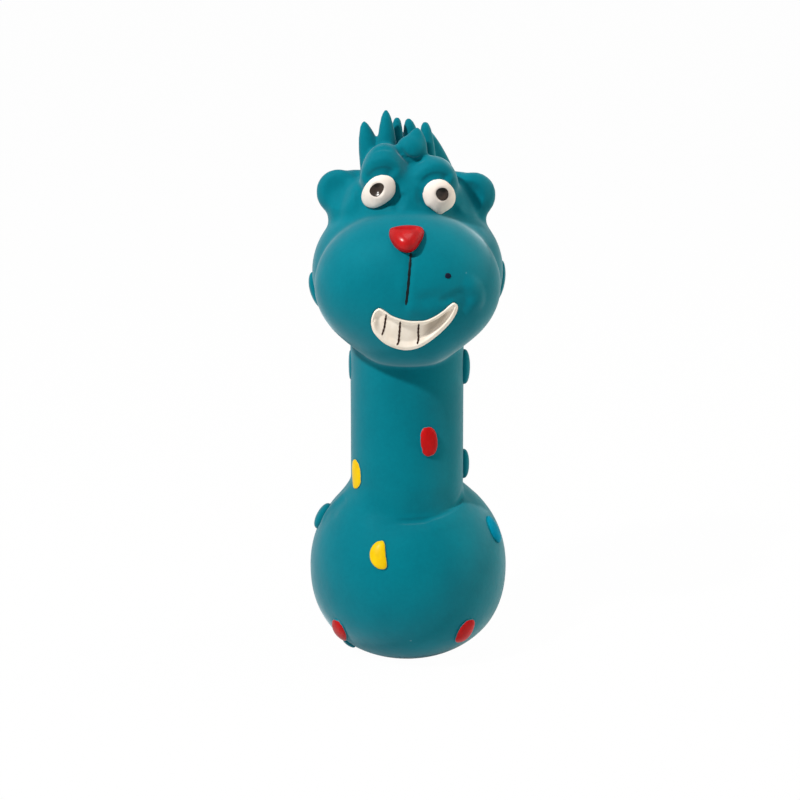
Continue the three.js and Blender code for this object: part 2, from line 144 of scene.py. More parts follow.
def vectorsOf(items, key):
    flat = np.empty(len(items) * 3, np.float32)
    items.foreach_get(key, flat)
    return flat.reshape(-1, 3).astype(float)


def pointsOf(piece):
    return vectorsOf(piece.data.vertices, "co")


def normalsOf(piece):
    return vectorsOf(piece.data.vertex_normals, "vector")


def setPoints(piece, points):
    piece.data.vertices.foreach_set("co", points.astype(np.float32).ravel())
    piece.data.update()


def setLayer(piece, name, values):
    layer = piece.data.attributes.new(name, "FLOAT", "POINT")
    layer.data.foreach_set("value", np.asarray(values, np.float32))


def applyModifier(piece, kind, **settings):
    pickOnly(piece)
    modifier = piece.modifiers.new(kind.lower(), kind)
    for key, value in settings.items():
        setattr(modifier, key, value)
    bpy.ops.object.modifier_apply(modifier=modifier.name)


def joinPieces(pieces, name):
    pickOnly(pieces[0])
    for piece in pieces[1:]:
        piece.select_set(True)
    bpy.ops.object.join()
    pieces[0].name = name
    return pieces[0]


def dropPiece(piece):
    pickOnly(piece)
    bpy.ops.object.delete()


def tidyNormals(piece, inside=False):
    editAll(piece)
    bpy.ops.mesh.remove_doubles(threshold=1e-6)
    bpy.ops.mesh.normals_make_consistent(inside=inside)
    bpy.ops.object.mode_set(mode="OBJECT")


def named(name):
    newest = bpy.context.object
    newest.name = name
    return newest


def addBall(name, segments, rings):
    bpy.ops.mesh.primitive_uv_sphere_add(segments=segments, ring_count=rings, radius=1)
    return named(name)


def roundOf(points):
    flat = np.linalg.norm(points[:, :2], axis=1, keepdims=True)
    ring = points[:, :2] / np.maximum(flat, 1e-6)
    ring[np.abs(points[:, 2]) > 0.9999] = 0  # the poles point nowhere
    return ring


def ease(low, high, value):
    share = np.clip((value - low) / (high - low), 0, 1)
    return share * share * (3 - 2 * share)


def treeOf(piece):
    return BVHTree.FromObject(piece, bpy.context.evaluated_depsgraph_get())


def treeOfAll(pieces):
    places, faces = [], []
    for piece in pieces:
        start = len(places)
        places += [point.co.copy() for point in piece.data.vertices]
        faces += [[start + index for index in face.vertices] for face in piece.data.polygons]
    return BVHTree.FromPolygons(places, faces)


def meetSkin(tree, across, down):
    eye, line = sightLine(across, down)
    place, normal, _, _ = tree.ray_cast(eye, line)
    if place is None:
        place, normal, _, _ = tree.find_nearest(eye + line * photoView["distance"])
    return place, normal


def alongPath(path, marks, shares):
    return np.column_stack([np.interp(shares, marks, path[:, axis]) for axis in range(path.shape[1])])


def finerPath(places, count, closed=False):
    spots = np.array(places, float)
    if closed:
        spots = np.vstack([spots[-1:], spots, spots[:2]])
    else:
        spots = np.vstack([2 * spots[0] - spots[1], spots, 2 * spots[-1] - spots[-2]])
    steps = np.linspace(0, 1, 13)[:-1, None]  # twelve steps from point to point
    fine = []
    for before, start, end, after in zip(spots, spots[1:], spots[2:], spots[3:]):
        fine.append(0.5 * (2 * start + (end - before) * steps
                           + (2 * before - 5 * start + 4 * end - after) * steps**2
                           + (3 * start - before - 3 * end + after) * steps**3))
    fine = np.vstack(fine + ([fine[0][:1]] if closed else [spots[-2:-1]]))
    run = np.concatenate([[0], np.cumsum(np.linalg.norm(np.diff(fine, axis=0), axis=1))])
    return alongPath(fine, run, np.linspace(0, run[-1], count))


def nearestOnPath(points, path):
    best = np.full(len(points), np.inf)
    along = np.zeros(len(points))
    for index, (start, end) in enumerate(zip(path, path[1:])):
        reach = end - start
        share = np.clip((points - start) @ reach / max(reach @ reach, 1e-12), 0, 1)
        gap = np.linalg.norm(points - start - share[:, None] * reach, axis=1)
        closer = gap < best
        best[closer] = gap[closer]
        along[closer] = (index + share[closer]) / (len(path) - 1)
    return best, along


strokeForm = {"steps": 24, "past": 0.02}


def strokeSkin(piece, tree, strokes):
    points = pointsOf(piece)
    normals = normalsOf(piece)
    past = strokeForm["past"]
    for width, lift, fade, places in strokes:
        path = np.array([meetSkin(tree, *place)[0] for place in finerPath(places, strokeForm["steps"])])
        gap, along = nearestOnPath(points, path)
        share = np.clip(1 - (gap / (width * mm)) ** 2, 0, 1) ** 2
        share *= ease(0, fade, along + past) * ease(0, fade, 1 + past - along)
        points += normals * (share * lift * mm)[:, None]
    setPoints(piece, points)


# Finishes: the steps of a node tree, then latex, paint and plastic
noiseBand = (0.3, 0.7)  # where most of a noise lies


def newFinish(name):
    finish = bpy.data.materials.new(name)
    finish.use_nodes = True
    return finish, finish.node_tree, finish.node_tree.nodes["Principled BSDF"]


def toLinear(*srgb):
    def channel(part):
        part /= 255
        return part / 12.92 if part <= 0.04045 else ((part + 0.055) / 1.055) ** 2.4
    return tuple(channel(part) for part in srgb) + (1,)


def fillNode(web, node, settings):
    for socket, value in settings.items():
        if isinstance(value, bpy.types.NodeSocket):
            web.links.new(value, node.inputs[socket])
        else:
            node.inputs[socket].default_value = value
    return node


def addNode(web, kind, settings):
    return fillNode(web, web.nodes.new("ShaderNode" + kind), settings)


def objectCoords(web):
    return web.nodes.new("ShaderNodeTexCoord").outputs["Object"]


def addNoise(web, coords, scale, detail=3, roughness=0.5, stretch=(1, 1, 1)):
    mapping = addNode(web, "Mapping", {"Vector": coords, "Scale": stretch})
    noise = addNode(web, "TexNoise", {"Vector": mapping.outputs["Vector"], "Scale": scale,
                                      "Detail": detail, "Roughness": roughness})
    return noise.outputs["Fac"]


def spread(web, source, low, high, outLow, outHigh):
    span = {"Value": source, "From Min": low, "From Max": high, "To Min": outLow, "To Max": outHigh}
    return addNode(web, "MapRange", span).outputs["Result"]


def mixColours(web, share, first, second):
    mix = web.nodes.new("ShaderNodeMix")
    mix.data_type = "RGBA"
    return fillNode(web, mix, {0: share, 6: first, 7: second}).outputs[2]


def combine(web, first, second, operation="ADD"):
    node = web.nodes.new("ShaderNodeMath")
    node.operation = operation
    return fillNode(web, node, {0: first, 1: second}).outputs[0]


def readLayer(web, name):
    layer = web.nodes.new("ShaderNodeAttribute")
    layer.attribute_name = name
    return layer.outputs["Fac"]


def addBump(web, shader, layers):
    below = None
    for height, strength, distance in layers:
        bump = addNode(web, "Bump", {"Height": height, "Strength": strength, "Distance": distance})
        if below is not None:
            web.links.new(below, bump.inputs["Normal"])
        below = bump.outputs["Normal"]
    web.links.new(below, shader.inputs["Normal"])


latexLook = {  # noises: scale, detail, roughness; bumps: strength, distance
    "tealDeep": toLinear(0, 104, 119),
    "tealPale": toLinear(0, 117, 132),
    "dust": toLinear(120, 165, 170),
    "cloud": (55, 4, 0.55),
    "cloudShare": 0.75,  # the rest of the mottling is fine grain
    "grain": (900, 3, 0.6),
    "specks": (420, 1, 0.3),
    "speckBand": (0.84, 0.88),
    "speckShare": 0.4,
    "patches": (140, 3),
    "roughness": (0.5, 0.62),
    "ripples": (160, 2),
    "rippleBump": (0.12, 0.0012),
    "pores": (2600, 2),
    "poreBump": (0.1, 0.0002),
    "sockets": {"Specular IOR Level": 0.02, "Sheen Weight": 0.46, "Sheen Roughness": 0.38,
                "Sheen Tint": (0.85, 0.95, 1, 1)},
}


def latexColour(web, coords):
    look = latexLook
    cloud = addNoise(web, coords, *look["cloud"])
    grain = addNoise(web, coords, *look["grain"])
    mottle = combine(web, spread(web, cloud, *noiseBand, 0, look["cloudShare"]),
                     spread(web, grain, *noiseBand, 0, 1 - look["cloudShare"]))
    teal = mixColours(web, mottle, look["tealDeep"], look["tealPale"])
    specks = addNoise(web, coords, *look["specks"])
    dusted = spread(web, specks, *look["speckBand"], 0, look["speckShare"])
    return mixColours(web, dusted, teal, look["dust"])


def latexFinish():
    look = latexLook
    finish, web, shader = newFinish("tealLatex")
    coords = objectCoords(web)
    patches = addNoise(web, coords, *look["patches"])
    fillNode(web, shader, {
        "Base Color": latexColour(web, coords),
        "Roughness": spread(web, patches, *noiseBand, *look["roughness"]),
        **look["sockets"],
    })
    ripples = addNoise(web, coords, *look["ripples"])
    pores = addNoise(web, coords, *look["pores"])
    addBump(web, shader, [(ripples, *look["rippleBump"]), (pores, *look["poreBump"])])
    return finish


paintLook = {  # noises may end with a stretch
    "brush": (380, 3, 0.55, (1, 1, 0.45)),
    "ragged": (700, 2),
    "raggedBand": (0.25, 0.75),
    "raggedBy": 0.12,
    "edgeSoft": 0.08,
    "hollowShadeBand": (0.55, 1),
    "hollowShadeShare": 0.75,
    "wear": (500, 3),
    "wearBy": 0.06,
    "strokes": (800, 2, 0.5, (1, 1, 0.35)),
    "strokeBump": (0.1, 0.0003),
}
paints = {  # name, deep and pale colour, roughness, then what differs from the usual
    "red": ("redPaint", (164, 6, 8), (190, 14, 14), 0.42, {"coverFrom": 0.2}),
    "yellow": ("yellowPaint", (216, 174, 0), (230, 193, 2), 0.44, {"coverFrom": 0.2}),
    "blue": ("bluePaint", (0, 120, 152), (2, 138, 168), 0.46,
             {"coverFrom": 0.2, "coat": 0, "specular": 0.02}),
    "nose": ("noseGloss", (154, 0, 2), (182, 1, 4), 0.36, {"coat": 0.52, "specular": 0, "gloss": 0.265}),
    "white": ("eyeWhite", (224, 213, 204), (235, 226, 217), 0.5, {"coverFrom": 0.06, "coat": 0.02}),
    "pupil": ("pupilBrown", (24, 15, 9), (58, 43, 33), 0.36,
              {"coat": 0.5, "specular": 0.06, "gloss": 0.22}),
    # the cream's hollow colour is a painted shade, grey-brown where the tray sinks deepest
    "cream": ("toothCream", (236, 223, 206), (246, 237, 224), 0.48,
              {"coat": 0.02, "hollow": (168, 156, 140)}),
    "line": ("lineBlack", (6, 14, 18), (18, 26, 30), 0.5, {"coat": 0.02}),
    "toothLine": ("toothLineBrown", (40, 24, 19), (66, 43, 35), 0.5, {"coat": 0.02}),
    "mole": ("moleNavy", (6, 10, 30), (16, 20, 46), 0.45, {}),
}


def paintFinish(name, deep, pale, roughness, coverFrom=None, hollow=None,
                coat=0.05, specular=0.1, gloss=0.25):
    look = paintLook
    finish, web, shader = newFinish(name)
    coords = objectCoords(web)
    brush = addNoise(web, coords, *look["brush"])
    paint = mixColours(web, spread(web, brush, *noiseBand, 0, 1), toLinear(*deep), toLinear(*pale))
    if coverFrom is not None:  # bare latex shows where the brush did not reach
        ragged = addNoise(web, coords, *look["ragged"])
        ragged = spread(web, ragged, *look["raggedBand"], -look["raggedBy"], look["raggedBy"])
        edge = combine(web, readLayer(web, "rise"), ragged)
        cover = spread(web, edge, coverFrom, coverFrom + look["edgeSoft"], 0, 1)
        paint = mixColours(web, cover, latexColour(web, coords), paint)
    # painted shade: the paint is mixed toward a grey-brown where the depth layer says the tray sinks deep
    if hollow is not None:
        shade = spread(web, readLayer(web, "depth"), *look["hollowShadeBand"], 0, look["hollowShadeShare"])
        paint = mixColours(web, shade, paint, toLinear(*hollow))
    wear = addNoise(web, coords, *look["wear"])
    fillNode(web, shader, {
        "Base Color": paint,
        "Roughness": spread(web, wear, *noiseBand, roughness - look["wearBy"], roughness + look["wearBy"]),
        "Specular IOR Level": specular,
        "Coat Weight": coat,
        "Coat Roughness": gloss,
    })
    strokes = addNoise(web, coords, *look["strokes"])
    addBump(web, shader, [(strokes, *look["strokeBump"])])
    return finish


plasticLook = {"cloud": (260, 3), "wear": (-0.05, 0.08), "grain": (3000, 2), "grainBump": (0.08, 0.0002)}
plastics = {
    "plastic": ("squeakerPlastic", (224, 222, 212), (238, 236, 228), 0.38),
    "reed": ("reedPlastic", (196, 192, 176), (210, 206, 192), 0.3),
}


def plasticFinish(name, deep, pale, roughness):
    look = plasticLook
    finish, web, shader = newFinish(name)
    coords = objectCoords(web)
    cloud = addNoise(web, coords, *look["cloud"])
    fillNode(web, shader, {
        "Base Color": mixColours(web, cloud, toLinear(*deep), toLinear(*pale)),
        "Roughness": spread(web, cloud, *noiseBand, *(roughness + by for by in look["wear"])),
    })
    addBump(web, shader, [(addNoise(web, coords, *look["grain"]), *look["grainBump"])])
    return finish


finishes = {"latex": latexFinish()}
finishes |= {key: paintFinish(*row, **extra) for key, (*row, extra) in paints.items()}
finishes |= {key: plasticFinish(*row) for key, row in plastics.items()}
print("finishes mixed:", len(finishes))


# What a piece moves with, then its finish and its nodes
def squashWithBelly(piece):
    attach(piece, "belly")
    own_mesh(piece)


def bendWithRoot(piece):
    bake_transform(piece)


def bendWithNeck(piece):
    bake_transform(piece)


def rideOnHead(piece):
    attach(piece, "head")


follow = {"belly": squashWithBelly, "root": bendWithRoot, "neck": bendWithNeck, "head": rideOnHead}


def settlePiece(piece, finish, body, *nodes, degrees=50):
    pickOnly(piece)
    bpy.ops.object.shade_smooth_by_angle(angle=math.radians(degrees))
    piece.data.materials.clear()
    piece.data.materials.append(finishes[finish])
    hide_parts(*nodes)
    follow[body](piece)


# Lower body: belly, crease and neck, turned on a lathe as hollow latex
bodyForm = {
    "bellyRadius": 31,
    "bellyMiddle": 26.5,
    "baseRadius": 15,
    "baseRing": 13.3,
    "fullness": 2.3,
    "neckRadius": 17.5,
    "wall": 2.2,
    "recessRadius": 11.6,
    "recessTop": 1.9,
    "holeRadius": 8.3,
    "floorTop": 4.1,
    "cuts": (57, 72, 91.5),  # heights at which belly, neck root, neck and head part
    "spinSteps": 168,
    "bellySteps": (96, 40),  # outside and inside
    "collarSteps": (12, 6),
    "ringStep": 0.8,
}
bodyForm["crease"] = bodyForm["bellyMiddle"] + math.sqrt(
    bodyForm["bellyRadius"] ** 2 - bodyForm["neckRadius"] ** 2)
leanForm = {  # heights and radii over which each comes in or fades
    "forward": 3.3,  # the foot of the neck leans to the front
    "rise": (30, 42),
    "fall": (48, 84),
    "reach": (17.6, 29),
    "liftEnds": 0.4,  # below the belly's cut
    "aside": 0.35,  # the belly sits a little to the right of the neck
    "asideRise": (2, 10),
    "asideFall": (40, 54),
}
creaseForm = {
    "sag": 1.1,  # the neck sinks deeper into the belly at the front
    "sagReach": (0.5, 8),
    "sagFront": (-4, 13),
    "sagEnds": 0.6,
    "fillets": (1.4, 9, 5),  # at the right, the left and the back
    "left": (0, 13),
    "front": (-14, 0),
    "back": (0, 12),
    "above": 8,
    "margin": 0.3,
    "bandDown": 4.4,  # band round the crease that is smoothed
    "bandReach": 25,
    "bandDepth": 1.1,
    "bandEnds": 0.8,
    "smoothing": (5, 2),  # before and after the folds
}


def bellyReach(height, grow):
    form = bodyForm
    rise = height - form["bellyMiddle"]
    radius = form["bellyRadius"] + grow
    if rise >= 0:
        return math.sqrt(max(radius**2 - rise**2, 0))
    power = form["fullness"]
    depth = form["bellyMiddle"] / (1 - (form["baseRadius"] / form["bellyRadius"]) ** power) ** (1 / power)
    return radius * (1 - min(-rise / (depth + grow), 1) ** power) ** (1 / power)


def bellyRun(low, high, grow, count):
    shares = 0.5 - 0.5 * np.cos(np.linspace(0, math.pi, count))
    return [(bellyReach(low + (high - low) * share, grow), low + (high - low) * share) for share in shares]


def turnOnLathe(name, outline):
    bpy.ops.mesh.primitive_circle_add(vertices=len(outline), radius=1)
    piece = named(name)
    setPoints(piece, np.array([(radius, 0, height) for radius, height in outline]) * mm)
    editAll(piece)
    bpy.ops.mesh.spin(steps=bodyForm["spinSteps"], angle=2 * math.pi, center=(0, 0, 0), axis=(0, 0, 1))
    bpy.ops.object.mode_set(mode="OBJECT")
    tidyNormals(piece)
    return piece


def creaseFillet(x, y, height):
    form = creaseForm
    crisp, left, back = form["fillets"]
    neck = bodyForm["neckRadius"]
    flat = np.hypot(x, y)
    rise = height - bodyForm["bellyMiddle"]
    ball = np.sqrt(np.maximum(bodyForm["bellyRadius"] ** 2 - rise**2, 0))
    outer = (rise > form["above"]) & (flat > np.maximum(ball, neck) - form["margin"])
    soft = crisp + (left - crisp) * ease(*form["left"], -x) * ease(*form["front"], -y)
    soft = np.maximum(soft, crisp + (back - crisp) * ease(*form["back"], y))
    near = np.clip(1 - np.abs(ball - neck) / soft, 0, 1)
    grow = np.where(outer, near**2 * soft / 4, 0)
    return np.column_stack([x, y]) / np.maximum(flat, 1)[:, None] * grow[:, None]


def leanFoot(points):
    form, lean, crease = bodyForm, leanForm, creaseForm
    moved = points / mm
    x, y, height = moved.T.copy()
    flat = np.hypot(x, y)
    share = ease(*lean["rise"], height) * (1 - ease(*lean["fall"], height))
    share *= 1 - ease(*lean["reach"], flat)
    moved[:, 1] -= lean["forward"] * share
    rise = np.clip(np.hypot(flat, height - form["bellyMiddle"]),
                   form["bellyRadius"] - form["wall"], form["bellyRadius"])
    newFlat = np.minimum(np.hypot(moved[:, 0], moved[:, 1]), rise)
    lift = np.sqrt(rise**2 - newFlat**2) - np.sqrt(np.maximum(rise**2 - flat**2, 0))
    lift *= 1 - ease(form["crease"], form["cuts"][0] - lean["liftEnds"], height)
    moved[:, 2] += np.where((height > form["bellyMiddle"]) & (flat > 1), lift, 0)
    fromCrease = np.hypot(flat - form["neckRadius"], height - form["crease"])
    sag = 1 - ease(*crease["sagReach"], fromCrease)
    sag *= 1 - ease(form["crease"], form["cuts"][0] - crease["sagEnds"], height)
    moved[:, 2] -= crease["sag"] * sag * ease(*crease["sagFront"], -y)
    moved[:, 0] += lean["aside"] * ease(*lean["asideRise"], height) * (1 - ease(*lean["asideFall"], height))
    moved[:, :2] += creaseFillet(x, y, height)
    return moved * mm


def makeLowerBody():
    form = bodyForm
    neck = form["neckRadius"]
    bore = neck - form["wall"]
    low, middle, high = form["cuts"]
    innerTop = form["bellyMiddle"] + math.sqrt((form["bellyRadius"] - form["wall"]) ** 2 - bore**2)
    outerSteps, innerSteps = form["bellySteps"]
    collarOut, collarIn = form["collarSteps"]
    outline = [(form["recessRadius"], 0), (form["baseRing"], 0)]
    outline += bellyRun(0, form["crease"], 0, outerSteps)
    outline += [(neck, height) for height in np.linspace(form["crease"], low, collarOut)[1:]]
    outline += [(bore, height) for height in np.linspace(low, innerTop, collarIn)]
    outline += bellyRun(form["floorTop"], innerTop, -form["wall"], innerSteps)[::-1][1:]
    outline += [(form["holeRadius"], form["floorTop"]), (form["holeRadius"], form["recessTop"]),
                (form["recessRadius"], form["recessTop"])]
    pieces = [turnOnLathe("bellySkin", outline)]
    for name, start, end in (("neckRootSkin", low, middle), ("neckSkin", middle, high)):
        count = int((end - start) / form["ringStep"])
        outline = [(neck, height) for height in np.linspace(start, end, count)]
        outline += [(bore, height) for height in np.linspace(end, start, count // 2)]
        pieces.append(turnOnLathe(name, outline))
    for piece in pieces:
        setPoints(piece, leanFoot(pointsOf(piece)))
    return pieces


bellySkin, rootSkin, neckSkin = makeLowerBody()
print("lower body turned")

# Folds of the crease, as the picture shows them: a soft roll at the right, a fading crease at the left
creaseFolds = [  # width, lift, fade at the ends, path in picture pixels
    (4.2, 0.55, 0.2, [(426, 524), (444, 519), (459, 509), (469, 496)]),
    (1.5, -0.6, 0.2, [(392, 521), (410, 521.5), (430, 519), (447, 512), (458, 502), (463, 488)]),
    (2.4, 0.4, 0.2, [(352, 488), (342, 496), (333, 505), (326, 514), (321, 525)]),
    (3.2, -0.18, 0.2, [(347, 497), (338, 507), (331, 518)]),
]


def foldCrease():
    form = creaseForm
    x, y, height = pointsOf(bellySkin).T / mm
    flat = np.hypot(x, y + leanForm["forward"] / 2)
    fromMiddle = np.hypot(flat, height - bodyForm["bellyMiddle"])
    band = fromMiddle > bodyForm["bellyRadius"] - form["bandDepth"]
    band &= np.abs(height - bodyForm["crease"]) < form["bandDown"]
    band &= (flat < form["bandReach"]) & (height < bodyForm["cuts"][0] - form["bandEnds"])
    before, after = form["smoothing"]
    smoothPoints(bellySkin, band, before)
    strokeSkin(bellySkin, treeOf(bellySkin), creaseFolds)
    smoothPoints(bellySkin, band, after)


foldCrease()
print("crease folded")


# Head: egg lobes, ears, hair petals and stem joined in one soft skin; places from the head's middle
headForm = {
    "aboveNod": 36.5,
    "lobes": {  # middle and half sizes
        "ball": ((0.2, 0, -0.6), (29.2, 21.5, 25)),
        "muzzle": ((0.2, -12.6, -2.6), (27.9, 19.4, 22.6)),
        "skull": ((0, -0.5, 19), (16.2, 15.4, 16.8)),
        "browLeft": ((-6.7, -7.6, 28), (7.4, 8, 11.3)),
        "browRight": ((7.9, -7.4, 26), (7.6, 8, 9.5)),
        "earRootLeft": ((-15.6, 2, 23.6), (6.4, 3.6, 6.9)),
        "earRootRight": ((15.4, 2, 23), (6.4, 3.6, 6.9)),
        "underEarLeft": ((-19.6, 1.5, 15.2), (4.6, 4, 4.6)),
        "underEarRight": ((19.6, 1.5, 15.2), (4.6, 4, 4.6)),
        "forelock": ((1.3, -6.8, 37.2), (4.6, 3.5, 4.3)),
        "templeLeft": ((-13.5, -2.2, 18.5), (7.2, 7, 9.5)),
        "templeRight": ((13.6, -2, 18), (7.2, 7, 9)),
        "templeOuter": ((-17.6, -0.4, 19), (6.4, 5, 8.4)),
    },
    "airWall": {"ball": 2.6, "muzzle": 6, "skull": 4.5},  # wall left round the hollow
    "voxel": 0.48,
    "airVoxel": 1.2,
    "stemInto": 8,  # the stem ends this far below the head's middle
    "stemBelow": 6,  # and starts this far below the neck's cut
    "airBelow": 4,
    "hairLine": 31,
    "browMargin": 1.12,
    "faceFrom": 10,
    "smoothing": {"skin": 18, "face": 16, "hair": 3, "last": 2},
    "holdBand": (1, 4),  # above the cut, where the skin takes the neck's radius
    "holdFrom": 15,
}
chinForm = {"drop": 2.1, "rise": (9, 25), "fall": (25, 29.2), "wide": (7, 21), "front": (2, 10)}
earForm = {
    "half": (7.4, 3.5, 7.4),
    "left": {"at": (-20.7, 0.4, 23.3), "turn": -0.3, "dish": (1.4, 1), "dishRadius": 5.4, "dishDepth": 1.2},
    "right": {"at": (20.1, 0.6, 22.4), "turn": 0.3, "dish": (-2.6, 0), "dishRadius": 5, "dishDepth": 2.4},
    "dishPower": 1.2,
    "dishFront": (-0.5, 1.5),
}
petalRings = 36
hairForm = [  # base, tip, half width and thickness, turn, bow, taper
    ((-9, -1, 27), (-12.9, -1, 45.2), (4.6, 3.6), 10, (0, 0, 0), (1.4, 0.55)),
    ((-6, -2, 28), (-6.3, -1.5, 48.6), (3.6, 3.2), 0, (0.1, 0, 0), (1.6, 0.5)),
    ((-3, 3.6, 30), (-3, 4, 45.8), (2.2, 2.4), 0, (0, 0, 0), (2.2, 0.33)),
    ((2.4, 6.6, 29), (0.4, 6.8, 45.2), (3.4, 3), -8, (0.2, 0, 0), (1.6, 0.42)),
    ((1.3, -6.6, 35.4), (3.1, -5.8, 43.9), (4.7, 3.3), 0, (0, -0.3, 0), (1.6, 0.75)),
    ((6.3, 0, 28), (5.4, 0, 44.8), (2.6, 2.8), 0, (0.2, 0, 0), (2.2, 0.36)),
    ((8, 4.4, 25.5), (5.4, 5, 43.2), (8.2, 5.4), 15, (0.2, 0, 0), (1.05, 0.7)),
    ((-2, 9, 25), (-2, 9, 41), (6, 4), 0, (0, 0.4, 0), (2, 0.5)),
    ((-7, 8.5, 26), (-8.4, 10, 37), (4.4, 3.6), -30, (0, 0.4, 0), (1.6, 0.5)),
]
headMiddle = joints["head_nod"]["pos_m"][2] / mm + headForm["aboveNod"]


def onHead(place):
    return Vector((place[0], place[1], place[2] + headMiddle)) * mm


def fromHead(points):
    return points / mm - np.array((0, 0, headMiddle))


def outOfLobe(points, name):
    at, half = headForm["lobes"][name]
    return (((fromHead(points) - at) / half) ** 2).sum(axis=1)


def addEgg(name, place, half, turn=(0, 0, 0), segments=64, rings=40):
    bpy.ops.mesh.primitive_uv_sphere_add(segments=segments, ring_count=rings, radius=1, location=place,
                                         rotation=turn, scale=Vector(half) * mm)
    bpy.ops.object.transform_apply(location=True, rotation=True, scale=True)
    return named(name)


def addPetal(base, tip, half, turn, bow, taper):
    piece = addBall("petal", petalRings, petalRings)
    points = pointsOf(piece)
    share = (points[:, 2:] + 1) / 2
    ring = roundOf(points)
    slim = np.clip(1 - share ** taper[0], 0, 1) ** taper[1]
    angle = math.radians(turn)
    wide = np.array([math.cos(angle), math.sin(angle), 0]) * half[0]
    thin = np.array([-math.sin(angle), math.cos(angle), 0]) * half[1]
    spine = np.array(base) + (np.array(tip) - np.array(base)) * share
    spine = spine + np.array(bow) * 4 * share * (1 - share)
    shaped = spine + (ring[:, :1] * wide + ring[:, 1:] * thin) * slim
    shaped[:, 2] += headMiddle
    setPoints(piece, shaped * mm)
    return piece


def addStem(radius, below):
    low = bodyForm["cuts"][2] - below
    high = headMiddle - headForm["stemInto"]
    bpy.ops.mesh.primitive_cylinder_add(vertices=128, radius=radius * mm, depth=(high - low) * mm,
                                        location=(0, 0, (low + high) / 2 * mm))
    bpy.ops.object.transform_apply(location=True, rotation=True, scale=True)
    return named("stem")


def dropChin(skin):
    points = pointsOf(skin)
    x, y, z = fromHead(points).T
    share = ease(*chinForm["rise"], -z) * (1 - ease(*chinForm["fall"], -z))
    share *= (1 - ease(*chinForm["wide"], np.abs(x))) * ease(*chinForm["front"], -y)
    points[:, 2] -= chinForm["drop"] * share * mm
    setPoints(skin, points)


def makeHeadSkin():
    form = headForm
    pieces = [addEgg(name, onHead(at), half) for name, (at, half) in form["lobes"].items()]
    for ear in (earForm["left"], earForm["right"]):
        pieces.append(addEgg("ear", onHead(ear["at"]), earForm["half"], (0, 0, ear["turn"])))
    pieces += [addPetal(*petal) for petal in hairForm]
    pieces.append(addStem(bodyForm["neckRadius"], form["stemBelow"]))
    skin = joinPieces(pieces, "headSkin")
    applyModifier(skin, "REMESH", mode="VOXEL", voxel_size=form["voxel"] * mm)
    points = pointsOf(skin)
    height = fromHead(points)[:, 2]
    inHair = height > form["hairLine"]
    for brow in ("browLeft", "browRight"):
        inHair &= outOfLobe(points, brow) > form["browMargin"]
    inFace = (height > form["faceFrom"]) & ~inHair
    smoothPoints(skin, ~inHair, form["smoothing"]["skin"])
    smoothPoints(skin, inFace, form["smoothing"]["face"])
    smoothPoints(skin, inHair, form["smoothing"]["hair"])
    dropChin(skin)
    return skin


headSkin = makeHeadSkin()
softHead = treeOf(headSkin)
print("head skin joined, points:", len(headSkin.data.vertices))

# Face outlines and folds, in pixels of the picture
faceMarks = {
    "eyeLeft": [(361.5, 196), (363, 190), (366.5, 184), (372, 178.5), (378, 175.5), (385, 174.8),
        (390.5, 176.5), (394, 180), (395.7, 186), (395, 193), (391, 199), (385, 203.5), (378, 207),
        (372, 208), (366, 206), (362.5, 201.5)],
    "eyeRight": [(422.5, 194), (424, 188), (427.5, 183), (433, 179.8), (439, 179), (445, 180.5),
        (450, 184.5), (453.5, 189), (455.3, 195), (455, 201), (452.5, 206), (448, 210), (443.5, 212.5),
        (441, 214.5), (438, 214), (435, 212), (431, 208.5), (426, 205), (423.5, 200)],
    "pupilLeft": [(369.5, 190.5), (371.5, 186.5), (376, 183.5), (380.5, 183), (383.5, 185),
        (383.8, 188.5), (381.5, 193), (377.5, 196.5), (373, 196), (370.2, 193.5)],
    "pupilRight": [(435.8, 193.5), (437.5, 189.5), (442, 187.8), (446.5, 189), (448.5, 193),
        (447.8, 197.5), (445, 200.3), (441, 200.5), (437.5, 198)],
    "nose": [(390, 229.2), (393.8, 227.4), (401.5, 225.8), (410.8, 225.4), (419.2, 226.5), (423, 228.9),
        (424, 233), (422.5, 238.5), (418.8, 245), (414.8, 250), (409.5, 252.6), (403.5, 252.2),
        (397, 249), (392, 243), (389.2, 235.8)],
    "mole": [(445, 276), (446, 273.6), (448.5, 273), (450.8, 274.6), (450.8, 277), (448.6, 278.5),
        (446, 278)],
    "mouthTop": [(371.2, 320.6), (371.6, 318), (373.8, 312.3), (377, 309.2), (380, 308.5), (385.4, 311.5),
        (390.8, 315.4), (398.5, 318.5), (407.7, 320.8), (416.9, 321.2), (426.2, 320.3), (435.4, 316.2),
        (443.1, 310.8), (450, 305.4), (453.8, 302.8), (456.7, 304.3), (457.6, 305.8)],
    "mouthLow": [(371.1, 322.4), (371.2, 325), (373.1, 331.5), (378.5, 338.5), (386.2, 344.6),
        (396.9, 348.9), (407.7, 350.3), (418.5, 348), (427.7, 343.1), (436.9, 336.2), (444.6, 329.2),
        (451.5, 321.5), (456.2, 313.8), (457.8, 309), (457.9, 307.4)],
    "smile": [(441, 301), (449, 295.5), (457, 291), (464.5, 290), (470, 295.5), (469.5, 304),
        (465, 312.5), (459, 309.5), (454.5, 302), (448, 304)],
    "toothLeft": [(386.5, 313.8), (385.4, 320), (384.3, 327.7), (381.8, 335.4)],
    "toothMiddle": [(400.3, 321.5), (399.7, 329.2), (398.9, 338.5), (398.5, 342.3), (396.6, 345.4)],
    "toothRight": [(418.8, 323.8), (418.2, 332.3), (418.5, 338.5), (417.2, 344.3)],
    "philtrum": [(411.1, 252.3), (410.5, 258.5), (409.5, 270.8), (408.5, 283), (407.2, 295.4),
        (405.8, 305.4)],
}
